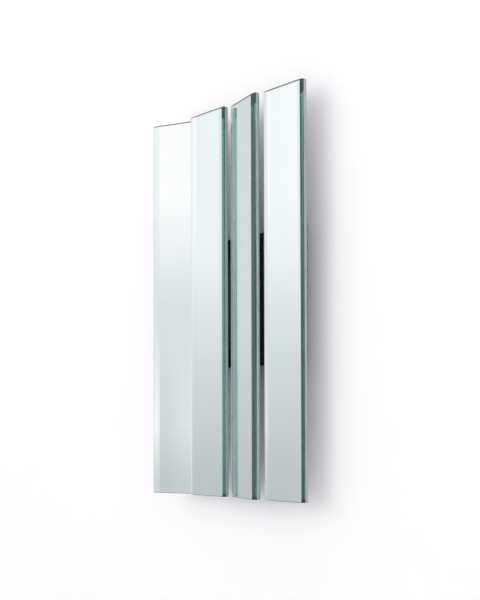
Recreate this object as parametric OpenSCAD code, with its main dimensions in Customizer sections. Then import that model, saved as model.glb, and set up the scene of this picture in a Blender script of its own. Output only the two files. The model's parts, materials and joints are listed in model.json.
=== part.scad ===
// Four-strip pivoting wall mirror on a black steel carrier.
// Millimetres. +X right, -Y into the room, +Z up. The origin is the centre of the four wall-screw holes
// on the wall plane (y = 0). Each strip turns about its own upright shaft.

/* [Strips] */
// Height of every strip
strip_h = 1200; // [600:10:1600]
// Width of every strip
strip_w = 171; // [120:1:171]
// Distance from one shaft to the next
pitch = 180; // [180:1:240]
// Glass thickness at the middle
glass_t = 8; // [6:0.5:8]
// Width of the bevel along each long edge of the glass
bevel_w = 20; // [6:1:30]
// How much the bevel thins the glass at its edge
bevel_drop = 3; // [1:0.5:3]
// Thickness of the lacquered board behind the glass
board_t = 10.5; // [8:0.5:12]
// Small chamfer on the board's back edges
board_chamfer = 1; // [0.5:0.5:3]

/* [Rest angles] */
// Strip 1, degrees, plus turns its left edge to the wall
turn_1 = -23.5; // [-30:0.5:30]
// Strip 2
turn_2 = 0; // [-30:0.5:30]
// Strip 3
turn_3 = 14; // [-30:0.5:30]
// Strip 4
turn_4 = 0; // [-30:0.5:30]

/* [Carrier] */
// Height of the steel tray
tray_h = 400; // [300:10:600]
// How far the tray stands off the wall
tray_d = 16; // [12:1:17]
// Thickness of the tray's sheet
sheet_t = 2; // [1.5:0.5:3]
// Distance from the wall to the shafts
axis_d = 54; // [54:1:70]
// Thickness of the brackets that carry the shafts
bracket_t = 5; // [4:0.5:8]
// Height of a bracket's folded flange
flange_h = 44; // [40:1:60]
// Thickness of a bracket's folded flange
flange_t = 4; // [3:0.5:6]
// Radius of the rounded ear round each shaft
ear_r = 7.5; // [7:0.25:7.5]

/* [Wall fixing] */
// Sideways distance between the wall screws
wall_dx = 360; // [180:10:400]
// Upright distance between the wall screws
wall_dz = 240; // [120:10:260]
// Radius of the wall-screw holes
wall_r = 3.5; // [2.5:0.25:5]

/* [Shafts and blocks] */
// Radius of the shafts
shaft_r = 4; // [3:0.5:4]
// Radial play of a shaft in its bush
play = 0.05; // [0.02:0.01:0.1]
// Width of the clamp blocks
block_w = 48; // [44:1:56]
// Height of the clamp blocks
block_h = 30; // [24:1:50]
// Distance of the stop pins from the shaft
pin_x = 14; // [13:0.5:16]
// Radius of the stop pins
pin_r = 2.5; // [2:0.5:2.5]

/* [Hidden] */
$fn = 32;
turns = [turn_1, turn_2, turn_3, turn_4];
strips = [1:4];
ends = [-1, 1];

// Heights, from the middle of the mirror
z_mid = tray_h / 2 - 10;
z_in = z_mid - bracket_t / 2;
z_out = z_in + bracket_t;
z_blk = z_in - 2.5;
bolt_z = [z_in - 16, z_in - 34];

// Depths, from a shaft, with the room towards -Y
plate_t = 2.5;
y_blk = 8;
y_back = -8.5;
y_plate = y_back + plate_t;
y_glass = y_back - board_t;
y_front = y_glass - glass_t;

// Carrier
root_w = 30;
stop_y = 9.8;
tray_w = 3 * pitch + root_w + 2 * sheet_t + 0.6;
bolt_r = 2.5;
bolt_head_r = 4.6;
bolt_head_h = 2.6;

// Bushes, washer, springs and nut on a shaft
bush_r = 5.5;
bush_flange_r = 7.4;
bush_flange_t = 1;
washer_r = 7;
washer_t = 1.4;
spring_gap = 0.2;
spring_h = 2.5;
spring_r = 7.4;
spring_waist_r = 6;
nut_r = 7.5;
nut_h = 6.5;
shaft_above = 8;
shaft_below = 14;

// Screws of the strips
screw_r = 2;
screw_bite = 6.5;
hole_spare = 1;
plate_w = 70;
block_screw_x = 16;
plate_screw_x = 27;
plate_screw_z = z_blk - 55;
cap_r = 3.5;
cap_h = 4;
sunk_r = 4;
sunk_h = 2;
grub_r = 2.5;
pin_bite = 8;
small_socket_r = 1.4;
large_socket_r = 1.7;
socket_depth = 2.2;

// Reach of a cut beyond the face that it opens through
cut = 1;

pale = [0.80, 0.81, 0.83];
steel = [0.72, 0.73, 0.75];
black = [0.06, 0.06, 0.07];
zinc = [0.62, 0.63, 0.65];
brass = [0.70, 0.58, 0.34];
clear = [0.78, 0.86, 0.86];

// Moves a strip's piece from its own axis to where strip i stands at rest.
module at_strip(i) {
    translate([(i - 2.5) * pitch, -axis_d, 0])
        rotate([0, 0, -turns[i - 1]])
            children();
}

// Puts a carrier piece at every shaft.
module at_shafts() {
    for (i = strips)
        translate([(i - 2.5) * pitch, -axis_d, 0])
            children();
}

// Puts a piece at the four screws of the clamp blocks.
module at_block_screws() {
    for (s = ends)
        for (x = [-block_screw_x, block_screw_x])
            translate([x, 0, s * (z_blk - block_h / 2)])
                children();
}

// Puts a piece at the six screws of the hinge plate.
module at_plate_screws() {
    for (x = [-plate_screw_x, plate_screw_x])
        for (z = [-plate_screw_z, 0, plate_screw_z])
            translate([x, 0, z])
                children();
}

// A rod lying along Y, from y0 to y1.
module rod_y(r, y0, y1) {
    translate([0, y0, 0])
        rotate([-90, 0, 0])
            cylinder(r = r, h = y1 - y0);
}

// Hexagon socket cut into a screw head whose outer face is at y, facing +Y.
module socket_y(r, y) {
    translate([0, y - socket_depth, 0])
        rotate([-90, 0, 0])
            cylinder(r = r, h = socket_depth + cut, $fn = 6);
}

// Section across the pane, half as wide as s, front towards -Y.
module bevel_profile(s) {
    polygon([
        [-s, y_glass], [s, y_glass], [s, y_front + bevel_drop],
        [s - bevel_w, y_front], [-s + bevel_w, y_front], [-s, y_front + bevel_drop]
    ]);
}

// Section of the board, half as wide as s, with its two back edges chamfered.
module board_profile(s) {
    c = board_chamfer;
    polygon([
        [-s, y_glass], [s, y_glass], [s, y_back - c],
        [s - c, y_back], [-s + c, y_back], [-s, y_back - c]
    ]);
}

// Pane bevelled along its two long edges and square at its ends.
module glass() {
    color(clear)
        translate([0, 0, -strip_h / 2])
            linear_extrude(strip_h)
                bevel_profile(strip_w / 2);
}

// Lacquered board bonded behind the pane, with blind holes for its screws.
module board() {
    hole_end = y_back - screw_bite - hole_spare;
    color(pale)
        difference() {
            intersection() {
                translate([0, 0, -strip_h / 2])
                    linear_extrude(strip_h)
                        board_profile(strip_w / 2);
                translate([-strip_w / 2, 0, 0])
                    rotate([90, 0, 90])
                        linear_extrude(strip_w)
                            rotate(90)
                                mirror([0, 1])
                                    board_profile(strip_h / 2);
            }
            at_block_screws()
                rod_y(screw_r, hole_end, y_back + cut);
            at_plate_screws()
                rod_y(screw_r, hole_end, y_back + cut);
        }
}

// Steel plate that spreads the load of both clamp blocks over the board.
module hinge_plate() {
    color(steel)
        difference() {
            translate([-plate_w / 2, y_back, -z_blk])
                cube([plate_w, plate_t, 2 * z_blk]);
            at_block_screws()
                rod_y(screw_r, y_back - cut, y_plate + cut);
            at_plate_screws() {
                rod_y(screw_r, y_back - cut, y_plate);
                sunk_head();
            }
        }
}

// Countersunk head, flush with the back of the hinge plate.
module sunk_head() {
    translate([0, y_plate, 0])
        rotate([90, 0, 0])
            cylinder(r1 = sunk_r, r2 = screw_r, h = sunk_h);
}

// Countersunk screws that hold the plate to the board.
module plate_screws() {
    color(zinc)
        at_plate_screws()
            difference() {
                union() {
                    sunk_head();
                    rod_y(screw_r, y_back - screw_bite, y_plate);
                }
                socket_y(small_socket_r, y_plate + cut);
            }
}

// Clamp block bored for the shaft, centred on z = 0.
module block() {
    difference() {
        translate([-block_w / 2, y_plate, -block_h / 2])
            cube([block_w, y_blk - y_plate, block_h]);
        translate([0, 0, -block_h])
            cylinder(r = shaft_r, h = 2 * block_h);
        for (x = [-block_screw_x, block_screw_x])
            translate([x, 0, 0])
                rod_y(screw_r, y_plate - cut, y_blk + cut);
        rod_y(grub_r, 0, y_blk + cut);
    }
}

// Upper clamp block.
module upper_block() {
    color(steel)
        translate([0, 0, z_blk - block_h / 2])
            block();
}

// Lower clamp block, with two blind holes underneath for the stop pins.
module lower_block() {
    color(steel)
        difference() {
            translate([0, 0, -z_blk + block_h / 2])
                block();
            for (x = [-pin_x, pin_x])
                translate([x, 0, -z_blk - cut])
                    cylinder(r = pin_r, h = pin_bite + cut);
        }
}

// Dowel pins that meet the bracket's shoulders at either end of the travel.
module stop_pins() {
    pin_foot = -z_out - 1;
    color(zinc)
        for (x = [-pin_x, pin_x])
            translate([x, 0, pin_foot])
                cylinder(r = pin_r, h = -z_blk + pin_bite - pin_foot);
}

// Socket-head screws through both blocks, the plate and into the board.
module block_screws() {
    color(zinc)
        at_block_screws()
            difference() {
                union() {
                    rod_y(screw_r, y_back - screw_bite, y_blk);
                    rod_y(cap_r, y_blk, y_blk + cap_h);
                }
                socket_y(large_socket_r, y_blk + cap_h);
            }
}

// Grub screws that lock the blocks to the shaft.
module set_screws() {
    grub_end = y_blk - 0.3;
    color(zinc)
        for (s = ends)
            translate([0, 0, s * (z_blk - block_h / 2)])
                difference() {
                    rod_y(grub_r, shaft_r + play, grub_end);
                    socket_y(small_socket_r, grub_end);
                }
}

// Upright shaft.
module shaft() {
    color(steel)
        translate([0, 0, -z_mid - shaft_below])
            cylinder(r = shaft_r, h = 2 * z_mid + shaft_above + shaft_below);
}

// Washer that carries the strip's weight on the lower bush.
module thrust_washer() {
    color(brass)
        translate([0, 0, -z_blk - washer_t])
            difference() {
                cylinder(r = washer_r, h = washer_t);
                translate([0, 0, -cut])
                    cylinder(r = shaft_r, h = washer_t + 2 * cut);
            }
}

// Two disc springs, back to back, that give the hinge its drag.
module disc_springs() {
    color(zinc)
        translate([0, 0, -z_out - spring_gap - spring_h])
            difference() {
                union() {
                    cylinder(r1 = spring_r, r2 = spring_waist_r, h = spring_h / 2);
                    translate([0, 0, spring_h / 2])
                        cylinder(r1 = spring_waist_r, r2 = spring_r, h = spring_h / 2);
                }
                translate([0, 0, -cut])
                    cylinder(r = shaft_r, h = spring_h + 2 * cut);
            }
}

// Lock nut under the disc springs.
module lock_nut() {
    color(zinc)
        translate([0, 0, -z_out - spring_gap - spring_h - nut_h])
            difference() {
                cylinder(r = nut_r, h = nut_h, $fn = 6);
                translate([0, 0, -cut])
                    cylinder(r = shaft_r, h = nut_h + 2 * cut);
            }
}

// Folded steel tray that lies on the wall.
module tray() {
    side_x = (tray_w - sheet_t) / 2;
    side_z = (tray_h - sheet_t) / 2;
    color(black)
        difference() {
            union() {
                translate([-tray_w / 2, -sheet_t, -tray_h / 2])
                    cube([tray_w, sheet_t, tray_h]);
                for (s = ends)
                    translate([s * side_x - sheet_t / 2, -tray_d, -tray_h / 2])
                        cube([sheet_t, tray_d, tray_h]);
                for (s = ends)
                    translate([-tray_w / 2, -tray_d, s * side_z - sheet_t / 2])
                        cube([tray_w, tray_d, sheet_t]);
            }
            for (x = [-wall_dx / 2, wall_dx / 2])
                for (z = [-wall_dz / 2, wall_dz / 2])
                    translate([x, 0, z])
                        rod_y(wall_r, -sheet_t - cut, cut);
            for (i = strips)
                for (s = ends)
                    for (z = bolt_z)
                        translate([(i - 2.5) * pitch, 0, s * z])
                            rod_y(bolt_r, -sheet_t - cut, cut);
        }
}

// Plan of a bracket about its shaft: a root, a neck and a round ear. The root's front corners are the stops.
module bracket_plan() {
    translate([-root_w / 2, stop_y])
        square([root_w, axis_d - sheet_t - stop_y]);
    translate([-ear_r, 0])
        square([2 * ear_r, stop_y]);
    circle(r = ear_r);
}

// Upper bracket, on the axis of its shaft: a thick plate with a flange folded down on the tray.
module bracket() {
    y_tray = axis_d - sheet_t;
    difference() {
        union() {
            translate([0, 0, z_in])
                linear_extrude(bracket_t)
                    bracket_plan();
            translate([-root_w / 2, y_tray - flange_t, z_in - flange_h])
                cube([root_w, flange_t, flange_h + bracket_t / 2]);
        }
        translate([0, 0, z_in - cut])
            cylinder(r = bush_r, h = bracket_t + 2 * cut);
        for (z = bolt_z)
            translate([0, 0, z])
                rod_y(bolt_r, y_tray - flange_t - cut, y_tray + cut);
    }
}

// Upper brackets, one to a shaft.
module top_brackets() {
    color(black)
        at_shafts()
            bracket();
}

// Lower brackets, whose shoulders stop the strips.
module bottom_brackets() {
    color(black)
        at_shafts()
            mirror([0, 0, 1])
                bracket();
}

// Flanged bush, pressed into an upper bracket from below.
module bush() {
    difference() {
        union() {
            translate([0, 0, z_in])
                cylinder(r = bush_r, h = bracket_t);
            translate([0, 0, z_in - bush_flange_t])
                cylinder(r = bush_flange_r, h = bush_flange_t);
        }
        translate([0, 0, z_in - bush_flange_t - cut])
            cylinder(r = shaft_r + play, h = bush_flange_t + bracket_t + 2 * cut);
    }
}

// All eight bushes. The lower ones' flanges carry the strips.
module bushes() {
    color(brass)
        at_shafts() {
            bush();
            mirror([0, 0, 1])
                bush();
        }
}

// Button-head screws, two to a bracket, into the tray.
module bracket_bolts() {
    head_y = axis_d - sheet_t - flange_t;
    color(black)
        at_shafts()
            for (s = ends)
                for (z = bolt_z)
                    translate([0, 0, s * z])
                        difference() {
                            union() {
                                rod_y(bolt_r, head_y, axis_d);
                                rod_y(bolt_head_r, head_y - bolt_head_h, head_y);
                            }
                            rotate([0, 0, 180])
                                socket_y(large_socket_r, bolt_head_h - head_y);
                        }
}

CARRIER_PIECES = ["tray", "top_brackets", "bottom_brackets", "bushes", "bracket_bolts"];
STRIP_PIECES = [
    "glass", "board", "hinge_plate", "plate_screws", "upper_block", "lower_block", "block_screws",
    "set_screws", "stop_pins", "shaft", "thrust_washer", "disc_springs", "lock_nut"
];

// Which piece to show

tray();
top_brackets();
bottom_brackets();
bushes();
bracket_bolts();
for (i = strips) {
    at_strip(i) glass();
    at_strip(i) board();
    at_strip(i) hinge_plate();
    at_strip(i) plate_screws();
    at_strip(i) upper_block();
    at_strip(i) lower_block();
    at_strip(i) block_screws();
    at_strip(i) set_screws();
    at_strip(i) stop_pins();
    at_strip(i) shaft();
    at_strip(i) thrust_washer();
    at_strip(i) disc_springs();
    at_strip(i) lock_nut();
}
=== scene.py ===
import json
import math

import bpy
from mathutils import Matrix, Vector


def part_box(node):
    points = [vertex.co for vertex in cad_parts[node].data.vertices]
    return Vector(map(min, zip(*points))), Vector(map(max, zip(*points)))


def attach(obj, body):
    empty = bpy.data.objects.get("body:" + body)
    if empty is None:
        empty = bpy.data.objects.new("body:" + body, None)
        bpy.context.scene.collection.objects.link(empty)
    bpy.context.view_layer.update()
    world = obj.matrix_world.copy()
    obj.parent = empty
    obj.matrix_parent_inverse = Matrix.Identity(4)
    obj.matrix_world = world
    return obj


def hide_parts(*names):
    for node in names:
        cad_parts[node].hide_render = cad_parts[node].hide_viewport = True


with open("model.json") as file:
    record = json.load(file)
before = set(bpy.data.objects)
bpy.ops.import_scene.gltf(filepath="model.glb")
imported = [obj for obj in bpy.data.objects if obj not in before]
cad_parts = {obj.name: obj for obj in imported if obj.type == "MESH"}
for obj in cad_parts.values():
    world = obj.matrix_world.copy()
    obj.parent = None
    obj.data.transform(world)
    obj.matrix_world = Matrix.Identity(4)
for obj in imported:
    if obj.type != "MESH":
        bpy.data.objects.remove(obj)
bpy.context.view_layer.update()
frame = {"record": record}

record = frame["record"]
scene = bpy.context.scene
scene.view_settings.view_transform = "Standard"
scene.view_settings.look = "None"

# ---------------------------------------------------------------- sizes, in metres, from a flat strip
joints = {joint["child"]: joint for joint in record["behaviour"]["joints"]}
FLAT = "2"
glass_lo, glass_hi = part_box("glass_" + FLAT)
board_lo, board_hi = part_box("board_" + FLAT)
axis_y = joints["strip_" + FLAT]["pos_m"][1]
HALF_W = (glass_hi[0] - glass_lo[0]) / 2
HALF_H = (glass_hi[2] - glass_lo[2]) / 2
Y_FRONT = glass_lo[1] - axis_y
Y_GLASS = glass_hi[1] - axis_y
Y_BACK = board_hi[1] - axis_y
# The bevel falls by BEVEL_DROP over BEVEL_W, as in the CAD pane.
BEVEL_W = 0.020
BEVEL_DROP = 0.003
ARRIS = 0.0005
# The board: a small step behind the glass, then its edge band, then a darker grey band at the back that
# carries on round the rounded back edge.
BOARD_STEP_IN, BOARD_GAP, BOARD_STEP_Y = 0.0003, 0.00005, 0.0004
BOARD_CHAMFER = 0.001
DARK_BAND_T = 0.0028
# Inset and distance from the back of each point of the rounded edge, in chamfers.
ROUNDING = [(0, 1.5), (0.12, 1), (0.5, 0.5), (1, 0.12), (1.5, 0)]

# ---------------------------------------------------------------- camera
SENSOR = 36.0
LONG_SIDE_PX = 600.0
FOCAL_PX = 1127.0
EYE = Vector((2.7012, -2.2067, -0.3836))
YAW, PITCH, ROLL = math.radians(51.02), math.radians(1.67), math.radians(-0.15)
cam_data = bpy.data.cameras.new("camera")
cam_data.sensor_width = SENSOR
cam_data.lens = FOCAL_PX / LONG_SIDE_PX * SENSOR
cam_data.shift_y = 0.155
cam_data.clip_end = 60.0
camera = bpy.data.objects.new("camera", cam_data)
scene.collection.objects.link(camera)
camera.matrix_world = (
    Matrix.Translation(EYE)
    @ Matrix.Rotation(YAW, 4, "Z")
    @ Matrix.Rotation(math.radians(90) + PITCH, 4, "X")
    @ Matrix.Rotation(ROLL, 4, "Z")
)
scene.camera = camera

# Light caught in a bevel runs along the whole pane between the silver and the front before it leaves.
scene.cycles.max_bounces = 48
scene.cycles.glossy_bounces = 44
scene.cycles.transmission_bounces = 16


# ---------------------------------------------------------------- node helpers
class Net:
    """A node tree with short helpers for procedural detail."""

    def __init__(self, tree):
        self.nt = tree
        self.nt.nodes.clear()

    def node(self, kind, **sockets):
        n = self.nt.nodes.new(kind)
        for name, value in sockets.items():
            self.feed(n.inputs[name.replace("_", " ")], value)
        return n

    def feed(self, socket, value):
        if isinstance(value, bpy.types.NodeSocket):
            self.nt.links.new(value, socket)
        elif isinstance(value, tuple) and len(value) == 3 and socket.type == "RGBA":
            socket.default_value = (*value, 1.0)
        else:
            socket.default_value = value

    def ramp(self, fac, stops):
        n = self.node("ShaderNodeValToRGB", Fac=fac)
        e = n.color_ramp.elements
        while len(e) < len(stops):
            e.new(0.5)
        for el, (pos, col) in zip(e, stops):
            el.position = pos
            el.color = (*col, 1.0)
        return n.outputs["Color"]

    def span(self, value, frm, to, lo=0.0, hi=1.0, smooth=False):
        n = self.node("ShaderNodeMapRange", Value=value, From_Min=frm, From_Max=to, To_Min=lo, To_Max=hi)
        n.interpolation_type = "SMOOTHSTEP" if smooth else "LINEAR"
        return n.outputs["Result"]

    def maths(self, operation, a, b=0.0):
        n = self.nt.nodes.new("ShaderNodeMath")
        n.operation = operation
        self.feed(n.inputs[0], a)
        self.feed(n.inputs[1], b)
        return n.outputs[0]

    def blend(self, fac, a, b):
        n = self.nt.nodes.new("ShaderNodeMix")
        n.data_type = "RGBA"
        self.feed(n.inputs[0], fac)
        self.feed(n.inputs[6], a)
        self.feed(n.inputs[7], b)
        return n.outputs[2]


class Mat(Net):
    """A Principled material whose colour, roughness and bump come from noise."""

    def __init__(self, name, **sockets):
        self.m = bpy.data.materials.new(name)
        self.m.use_nodes = True
        super().__init__(self.m.node_tree)
        self.bsdf = self.node("ShaderNodeBsdfPrincipled", **sockets)
        self.out = self.node("ShaderNodeOutputMaterial", Surface=self.bsdf.outputs["BSDF"])
        self.co = self.node("ShaderNodeTexCoord").outputs["Object"]

    def stretch(self, scale):
        return self.node("ShaderNodeMapping", Vector=self.co, Scale=scale).outputs["Vector"]

    def noise(self, scale, detail=4.0, rough=0.55, vector=None):
        return self.node("ShaderNodeTexNoise", Scale=scale, Detail=detail, Roughness=rough,
                         Vector=vector or self.co).outputs["Fac"]

    def colour(self, fac, dark, light):
        self.feed(self.bsdf.inputs["Base Color"], self.ramp(fac, [(0.3, dark), (0.7, light)]))

    def rough(self, fac, lo, hi):
        self.feed(self.bsdf.inputs["Roughness"], self.span(fac, 0.3, 0.7, lo, hi))

    def bump(self, height, distance):
        n = self.node("ShaderNodeBump", Distance=distance, Height=height)
        self.feed(self.bsdf.inputs["Normal"], n.outputs["Normal"])


# ---------------------------------------------------------------- materials
def make_glass():
    m = Mat("clear_glass", IOR=1.52, Transmission_Weight=1.0, Roughness=0.0)
    m.colour(m.noise(9.0, 3.0, 0.5), (0.982, 0.990, 0.988), (0.992, 0.996, 0.995))
    tint = m.node("ShaderNodeVolumeAbsorption", Color=(0.34, 0.72, 0.66), Density=14.5)
    m.feed(m.out.inputs["Volume"], tint.outputs["Volume"])
    return m.m


def make_silver():
    m = Mat("silver_coat", Metallic=1.0, Roughness=0.0)
    m.colour(m.noise(4.0, 2.0, 0.5), (0.955, 0.962, 0.958), (0.968, 0.972, 0.968))
    return m.m


def make_edge():
    m = Mat("ground_glass_edge", IOR=1.52)
    grind = m.noise(2600.0, 2.0, 0.6, m.stretch((1.0, 1.0, 0.15)))
    drift = m.noise(26.0, 4.0, 0.6, m.stretch((1.0, 1.0, 0.3)))
    m.colour(drift, (0.010, 0.040, 0.034), (0.022, 0.064, 0.056))
    m.rough(grind, 0.12, 0.24)
    m.bump(grind, 0.00004)
    return m.m


def make_lacquer(name, dark, light):
    m = Mat(name, IOR=1.48, Coat_Weight=0.35, Coat_Roughness=0.12)
    peel = m.noise(420.0, 2.0, 0.5)
    m.colour(m.noise(7.0, 4.0, 0.6), dark, light)
    m.rough(peel, 0.30, 0.40)
    m.bump(peel, 0.00006)
    return m.m


def make_black():
    m = Mat("black_powder_coat", IOR=1.5)
    grain = m.noise(1500.0, 3.0, 0.6)
    m.colour(m.noise(18.0, 4.0, 0.6), (0.040, 0.040, 0.045), (0.050, 0.050, 0.056))
    m.rough(grain, 0.42, 0.62)
    m.bump(grain, 0.00012)
    return m.m


def make_metal(name, dark, light, stretch, r0, r1, metallic=1.0):
    """A metal, or partly metallic, surface with fine lines along the axes that stretch makes small."""
    m = Mat(name, Metallic=metallic)
    line = m.noise(900.0, 3.0, 0.6, m.stretch(stretch))
    m.colour(m.noise(30.0, 3.0, 0.6), dark, light)
    m.rough(line, r0, r1)
    m.bump(line, 0.00003)
    return m.m


GLASS = make_glass()
SILVER = make_silver()
EDGE = make_edge()
LACQUER = make_lacquer("grey_lacquer", (0.74, 0.74, 0.77), (0.80, 0.80, 0.83))
# Darker grey for the last few millimetres of the board's edge and for its rounded back edge.
DARK_BACK_BAND = make_lacquer("dark_grey_back_band", (0.25, 0.26, 0.30), (0.31, 0.32, 0.36))
ALONG_Z, ROUND_Z, EVEN = (1.0, 1.0, 0.03), (0.1, 0.1, 1.0), (1.0, 1.0, 1.0)
EDGE_BAND = make_metal(
    "polished_edge_band", (0.34, 0.38, 0.40), (0.40, 0.44, 0.46), ALONG_Z, 0.05, 0.11, metallic=0.4)
BY_SLOT = {
    "mirror_glass": GLASS,
    "board": LACQUER,
    "black_coat": make_black(),
    "plate_steel": make_metal("brushed_steel", (0.46, 0.47, 0.49), (0.56, 0.57, 0.59), ALONG_Z, 0.28, 0.44),
    "shaft_steel": make_metal("ground_steel", (0.56, 0.57, 0.58), (0.66, 0.67, 0.68), ROUND_Z, 0.14, 0.26),
    "zinc": make_metal("zinc_plate", (0.52, 0.55, 0.60), (0.66, 0.66, 0.62), EVEN, 0.22, 0.38),
    "bronze": make_metal("sintered_bronze", (0.40, 0.27, 0.12), (0.56, 0.39, 0.19), EVEN, 0.34, 0.55),
}


# ---------------------------------------------------------------- mesh helpers
def add_object(name, verts, faces, mats, face_mats=None):
    me = bpy.data.meshes.new(name)
    me.from_pydata([tuple(v) for v in verts], [], faces)
    for m in mats:
        me.materials.append(m)
    if face_mats:
        me.polygons.foreach_set("material_index", face_mats)
    me.validate()
    me.update()
    ob = bpy.data.objects.new(name, me)
    scene.collection.objects.link(ob)
    return ob


def loft(rings, band_mats, cap_mats):
    """Closed skin over rings of equal length, each counterclockwise seen from the last ring's side."""
    n = len(rings[0])
    verts = [v for ring in rings for v in ring]
    faces = [tuple(reversed(range(n)))]
    mats = [cap_mats[0]]
    for k, materials in enumerate(band_mats):
        for i in range(n):
            a, b = k * n, (k + 1) * n
            j = (i + 1) % n
            faces.append((a + i, a + j, b + j, b + i))
            mats.append(materials[i])
    faces.append(tuple(range(len(verts) - n, len(verts))))
    mats.append(cap_mats[1])
    return verts, faces, mats


def pane_section(inset, z):
    """Section of the pane at height z, counterclockwise from above, drawn in by inset at the ends."""
    w = HALF_W - inset
    slope = BEVEL_DROP / BEVEL_W
    front, back = Y_FRONT + inset, Y_GLASS - inset
    edge = front + BEVEL_DROP
    right = [
        (w - BEVEL_W, front), (w - ARRIS, edge - ARRIS * slope), (w, edge + ARRIS),
        (w, back - ARRIS), (w - ARRIS, back),
    ]
    left = [(-x, y) for x, y in reversed(right)]
    return [Vector((x, y, z)) for x, y in right + left]


def board_ring(inset, y):
    """Outline of the board at depth y, drawn in by inset."""
    w, h = HALF_W - inset, HALF_H - inset
    return [Vector((-w, y, -h)), Vector((-w, y, h)), Vector((w, y, h)), Vector((w, y, -h))]


# ---------------------------------------------------------------- strips
for body, joint in joints.items():
    k = body.split("_")[-1]
    # The travel is even about flat, so the middle of a joint's range is how far the strip stands from flat.
    lo, hi = joint["range_deg"]
    turn = Matrix.Rotation(math.radians(-(lo + hi) / 2), 4, "Z")
    place = Matrix.Translation(Vector(joint["pos_m"])) @ turn

    heights = [(ARRIS, -HALF_H), (0.0, -HALF_H + ARRIS), (0.0, HALF_H - ARRIS), (ARRIS, HALF_H)]
    rings = [[place @ v for v in pane_section(inset, z)] for inset, z in heights]
    clear, silver, ground = 0, 1, 2
    sides = [clear] * 4 + [silver] + [clear] * 5
    ends = [ground] * 10
    verts, faces, mats = loft(rings, [ends, sides, ends], (ground, ground))
    pane = add_object("pane_" + k, verts, faces, [GLASS, SILVER, EDGE], mats)
    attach(pane, body)
    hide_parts("glass_" + k)

    section = [(BOARD_STEP_IN, Y_GLASS + BOARD_GAP), (0.0, Y_GLASS + BOARD_STEP_Y)]
    section += [(0.0, Y_BACK - DARK_BAND_T)]
    section += [(i * BOARD_CHAMFER, Y_BACK - o * BOARD_CHAMFER) for i, o in ROUNDING]
    rings = [[place @ v for v in board_ring(inset, y)] for inset, y in section]
    lacquer, band, dark_band = 0, 1, 2
    skins = [[band] * 4] * 2 + [[dark_band] * 4] * (len(section) - 3)
    verts, faces, mats = loft(rings, skins, (lacquer, lacquer))
    board = add_object("lacquered_board_" + k, verts, faces, [LACQUER, EDGE_BAND, DARK_BACK_BAND], mats)
    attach(board, body)
    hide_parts("board_" + k)

# ---------------------------------------------------------------- carried-over CAD pieces
for part in record["subparts"]:
    node, slot = part["node"], part["material_slot"]
    ob = bpy.data.objects.get(node)
    if ob is None or node.startswith(("glass_", "board_")):
        continue
    ob.data.materials.clear()
    ob.data.materials.append(BY_SLOT[slot])

# ---------------------------------------------------------------- room
FLOOR_Z = -1.25
CEILING_Z = 4.2
SIDE = 9.0
FLOOR_SIDE = 5.5
WALL_GAP = 0.0006


def make_paint(name, dark, light):
    """Matt paint that is seen from its front only, so the room does not hide the mirror from behind."""
    m = Mat(name, Roughness=0.9, IOR=1.3)
    m.colour(m.noise(1.1, 3.0, 0.5), dark, light)
    m.bump(m.noise(180.0, 3.0, 0.6), 0.0002)
    clear = m.node("ShaderNodeBsdfTransparent")
    back = m.node("ShaderNodeNewGeometry").outputs["Backfacing"]
    mix = m.node("ShaderNodeMixShader", Fac=back)
    m.feed(mix.inputs[1], m.bsdf.outputs["BSDF"])
    m.feed(mix.inputs[2], clear.outputs["BSDF"])
    m.feed(m.out.inputs["Surface"], mix.outputs["Shader"])
    return m.m


wall = add_object(
    "wall",
    [(-SIDE, WALL_GAP, FLOOR_Z), (SIDE, WALL_GAP, FLOOR_Z),
     (SIDE, WALL_GAP, CEILING_Z), (-SIDE, WALL_GAP, CEILING_Z)],
    [(0, 1, 2, 3)], [make_paint("wall_paint", (0.88, 0.88, 0.88), (0.90, 0.90, 0.90))])
floor = add_object(
    "floor",
    [(-FLOOR_SIDE, -FLOOR_SIDE, FLOOR_Z), (FLOOR_SIDE, -FLOOR_SIDE, FLOOR_Z),
     (FLOOR_SIDE, FLOOR_SIDE, FLOOR_Z), (-FLOOR_SIDE, FLOOR_SIDE, FLOOR_Z)],
    [(0, 1, 2, 3)], [make_paint("floor_paint", (0.80, 0.80, 0.80), (0.84, 0.84, 0.84))])

# ---------------------------------------------------------------- light
# The room that the mirrors show, chosen to suit this camera and the rest pose. Each soft view is brightness
# by height, from low to high, and BEARINGS says how far left it lies.
BRIGHT = [(-0.05, 0.65), (0.0, 0.85), (0.10, 0.75), (0.20, 0.95)]
FADING = [(-0.05, 0.55), (0.10, 0.75), (0.20, 1.0)]
PALE = [(-0.05, 0.65), (0.0, 0.95), (0.10, 0.75), (0.20, 0.85)]
SOFT = [(-0.05, 0.55), (0.05, 0.70), (0.15, 0.90)]
GREY = [(-0.05, 0.55), (0.10, 0.70)]
BEARINGS = [
    (-0.10, PALE), (0.10, BRIGHT), (0.15, FADING), (0.40, FADING),
    (0.55, PALE), (0.60, SOFT), (0.70, FADING), (0.80, SOFT), (1.0, GREY),
]
LOW, HIGH = -0.10, 0.30
BELOW, ABOVE, RIGHT_END = (-0.30, -0.12), (0.62, 0.36), (-0.92, -0.62)
COOL_BELOW, COOL_FADE = 0.88, 0.12
MIRROR_GAIN = (1.25, 1.12, 1.12)
ROOM = (0.90, 0.90, 0.91)
WINDOW_SIDE = (1.50, 1.50, 1.50)

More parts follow.
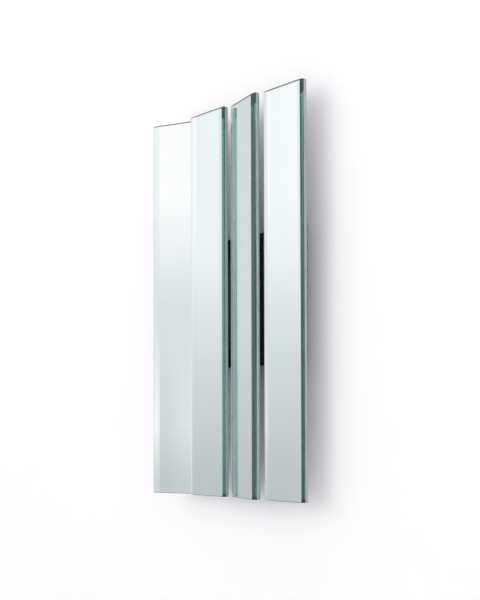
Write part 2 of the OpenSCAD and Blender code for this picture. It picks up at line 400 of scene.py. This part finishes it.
world = bpy.data.worlds.new("studio")
scene.world = world
world.use_nodes = True
net = Net(world.node_tree)
xyz = net.node("ShaderNodeSeparateXYZ", Vector=net.node("ShaderNodeTexCoord").outputs["Generated"])
x, y, z = xyz.outputs["X"], xyz.outputs["Y"], xyz.outputs["Z"]
flat = net.maths("SQRT", net.maths("ADD", net.maths("MULTIPLY", x, x), net.maths("MULTIPLY", y, y)))
leftness = net.maths("MULTIPLY", net.maths("DIVIDE", x, flat), -1.0)
height = net.span(z, LOW, HIGH)


def cool(level):
    """The dimmer parts of the room are a little bluer."""
    lean = min(1.0, max(0.0, (level - COOL_BELOW) / COOL_FADE))
    return (level * (0.915 + 0.075 * lean), level, level * (1.045 - 0.035 * lean))


def by_height(stops):
    colours = [tuple(g * c for g, c in zip(MIRROR_GAIN, cool(level))) for _, level in stops]
    return net.ramp(height, [((h - LOW) / (HIGH - LOW), colour) for (h, _), colour in zip(stops, colours)])


shown = by_height(BEARINGS[0][1])
for (u0, _), (u1, stops) in zip(BEARINGS, BEARINGS[1:]):
    shown = net.blend(net.span(leftness, u0, u1), shown, by_height(stops))
fades = net.maths("MULTIPLY", net.span(z, *BELOW, smooth=True), net.span(z, *ABOVE, smooth=True))
fades = net.maths("MULTIPLY", fades, net.span(leftness, *RIGHT_END, smooth=True))
around = net.blend(net.span(leftness, *RIGHT_END, smooth=True), WINDOW_SIDE, ROOM)
sky = net.node("ShaderNodeBackground", Color=net.blend(fades, around, shown), Strength=1.0)
net.node("ShaderNodeOutputWorld", Surface=sky.outputs["Background"])

SUN_BEARING, SUN_HEIGHT, SUN_SPREAD = math.radians(35), math.radians(8), math.radians(70)
sun_data = bpy.data.lights.new("key", "SUN")
sun_data.energy = 1.0
sun_data.angle = SUN_SPREAD
sun = bpy.data.objects.new("key", sun_data)
scene.collection.objects.link(sun)
level_reach = math.cos(SUN_HEIGHT)
to_sun = Vector((
    -math.sin(SUN_BEARING) * level_reach, -math.cos(SUN_BEARING) * level_reach, math.sin(SUN_HEIGHT),
))
sun.rotation_euler = to_sun.to_track_quat("Z", "Y").to_euler()
sun.visible_glossy = False
sun.visible_transmission = False
